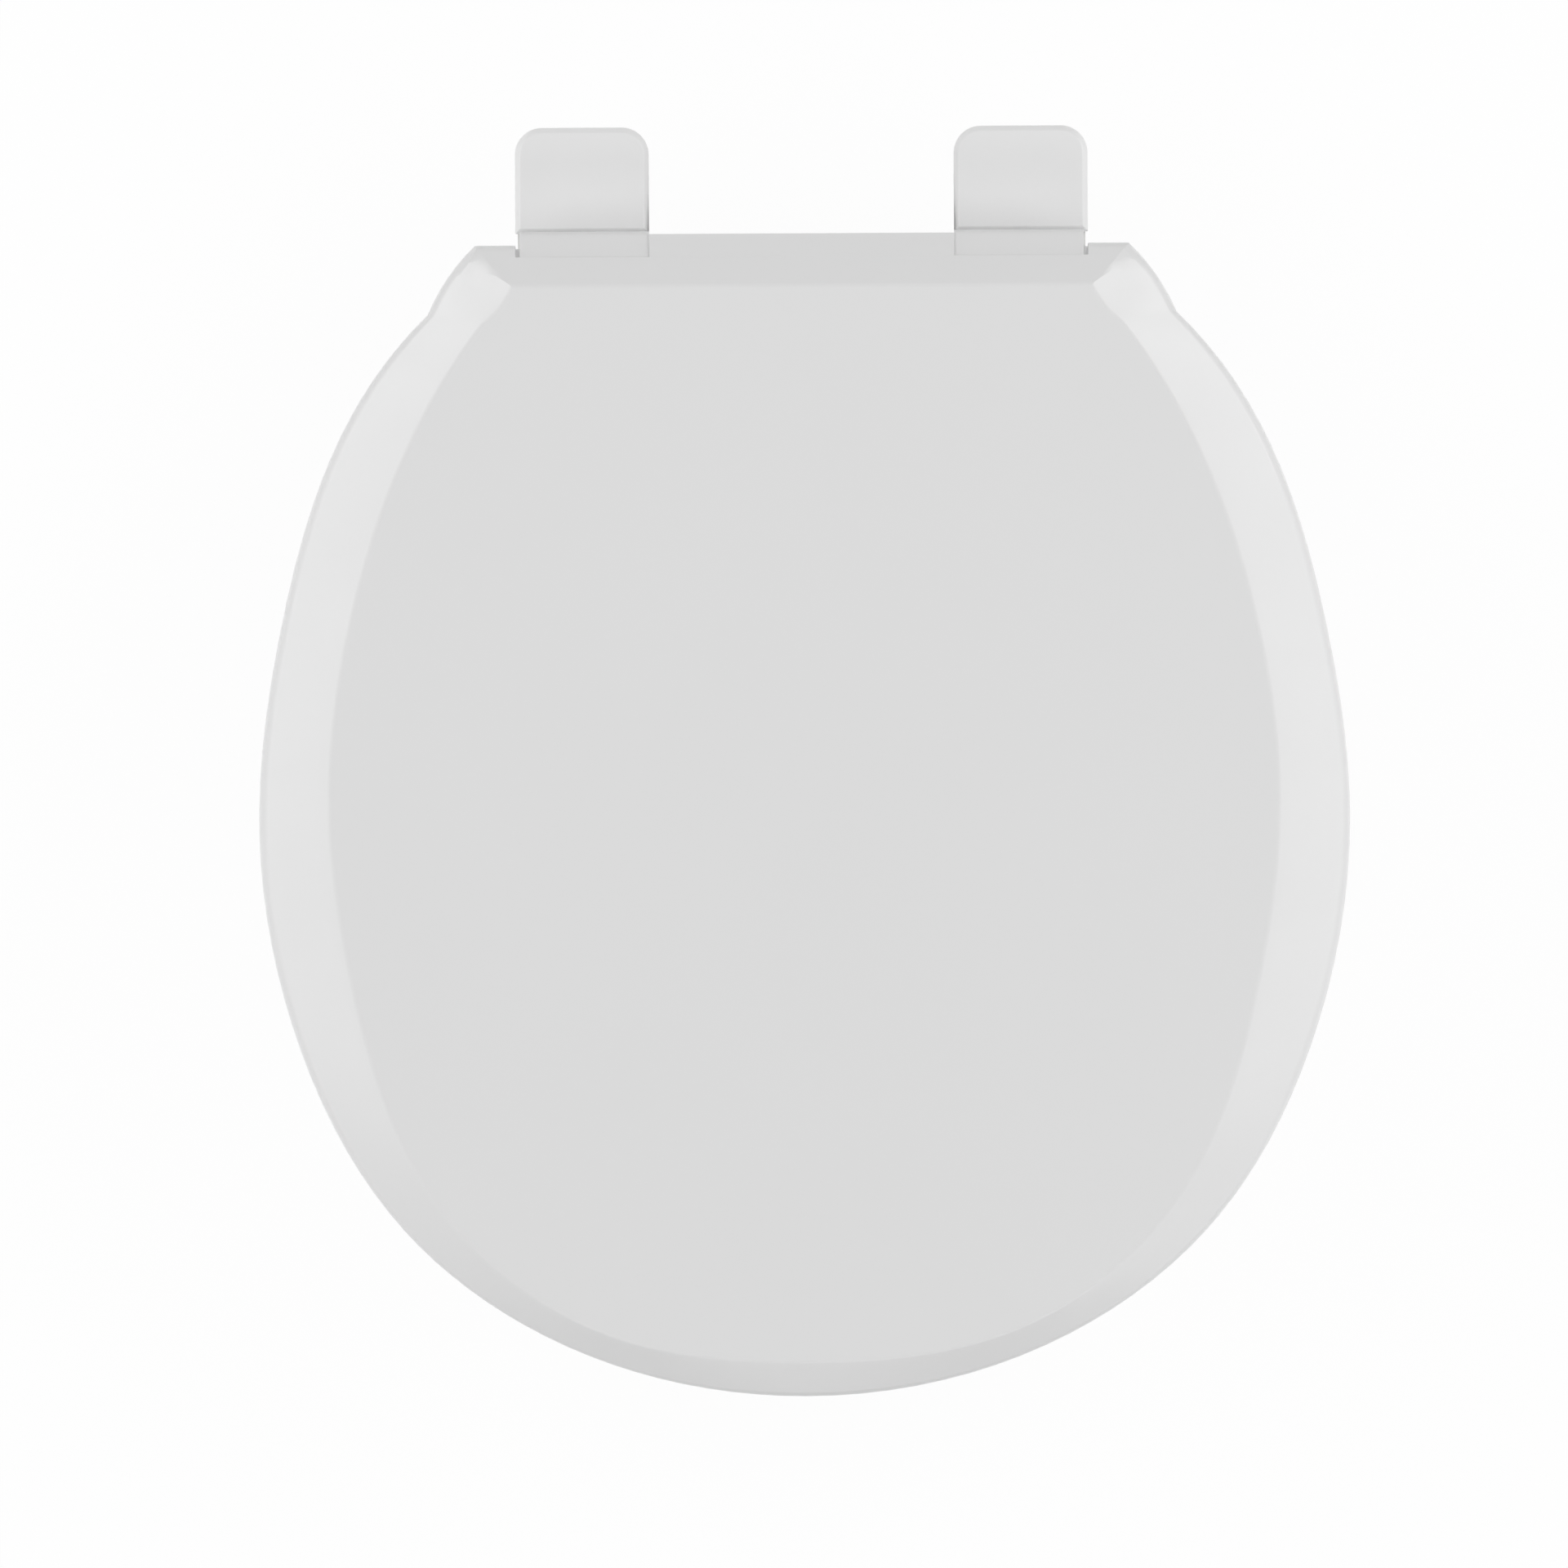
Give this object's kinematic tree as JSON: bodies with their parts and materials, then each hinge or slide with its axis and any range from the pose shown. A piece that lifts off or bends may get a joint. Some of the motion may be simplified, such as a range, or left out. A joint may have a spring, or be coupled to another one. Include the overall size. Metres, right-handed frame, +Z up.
{
  "type": "toilet seat",
  "caption": "Round-front white plastic toilet seat with a bevelled lid, lying closed on post hinges with clip-in caps and bolts for the bowl.",
  "frame": {"origin": "on the bowl deck, midway between the two mounting bolts", "axes": "+Z up from the bowl, +Y towards the wall behind, +X to the right as seen from above with the hinges at the top"},
  "size_m": [0.3618, 0.4216, 0.1105],
  "materials": {
    "lid": "smooth moulded gloss",
    "seat_ring": "smooth moulded gloss",
    "lid_bumper_left": "soft matt vinyl",
    "lid_bumper_right": "soft matt vinyl",
    "seat_bumper_front_left": "soft matt vinyl",
    "seat_bumper_front_right": "soft matt vinyl",
    "seat_bumper_rear_left": "soft matt vinyl",
    "seat_bumper_rear_right": "soft matt vinyl",
    "hinge_post_left": "smooth moulded gloss",
    "hinge_post_right": "smooth moulded gloss",
    "hinge_cap_left": "smooth moulded gloss",
    "hinge_cap_right": "smooth moulded gloss",
    "hinge_pin_left": "satin moulded nylon",
    "hinge_pin_right": "satin moulded nylon",
    "base_pad_left": "soft matt vinyl",
    "base_pad_right": "soft matt vinyl",
    "mounting_bolts": "satin moulded nylon",
    "bolt_washers": "satin moulded nylon",
    "wing_nuts": "satin moulded nylon"
  },
  "bodies": {
    "base": {"hinge_post_left": "hinge_post_left", "hinge_post_right": "hinge_post_right", "hinge_cap_left": "hinge_cap_left", "hinge_cap_right": "hinge_cap_right", "hinge_pin_left": "hinge_pin_left", "hinge_pin_right": "hinge_pin_right", "base_pad_left": "base_pad_left", "base_pad_right": "base_pad_right", "mounting_bolts": "mounting_bolts", "bolt_washers": "bolt_washers", "wing_nuts": "wing_nuts"},
    "seat": {"seat_ring": "seat_ring", "seat_bumper_front_left": "seat_bumper_front_left", "seat_bumper_front_right": "seat_bumper_front_right", "seat_bumper_rear_left": "seat_bumper_rear_left", "seat_bumper_rear_right": "seat_bumper_rear_right"},
    "lid": {"lid": "lid", "lid_bumper_left": "lid_bumper_left", "lid_bumper_right": "lid_bumper_right"}
  },
  "joints": [
    {"name": "seat_hinge", "type": "hinge", "parent": "base", "child": "seat", "pos_m": [0, -0.0258, 0.0352], "axis": [-1, 0, 0], "range_deg": [0, 96]},
    {"name": "lid_hinge", "type": "hinge", "parent": "seat", "child": "lid", "pos_m": [0, -0.0258, 0.0352], "axis": [-1, 0, 0], "range_deg": [0, 96]}
  ]
}
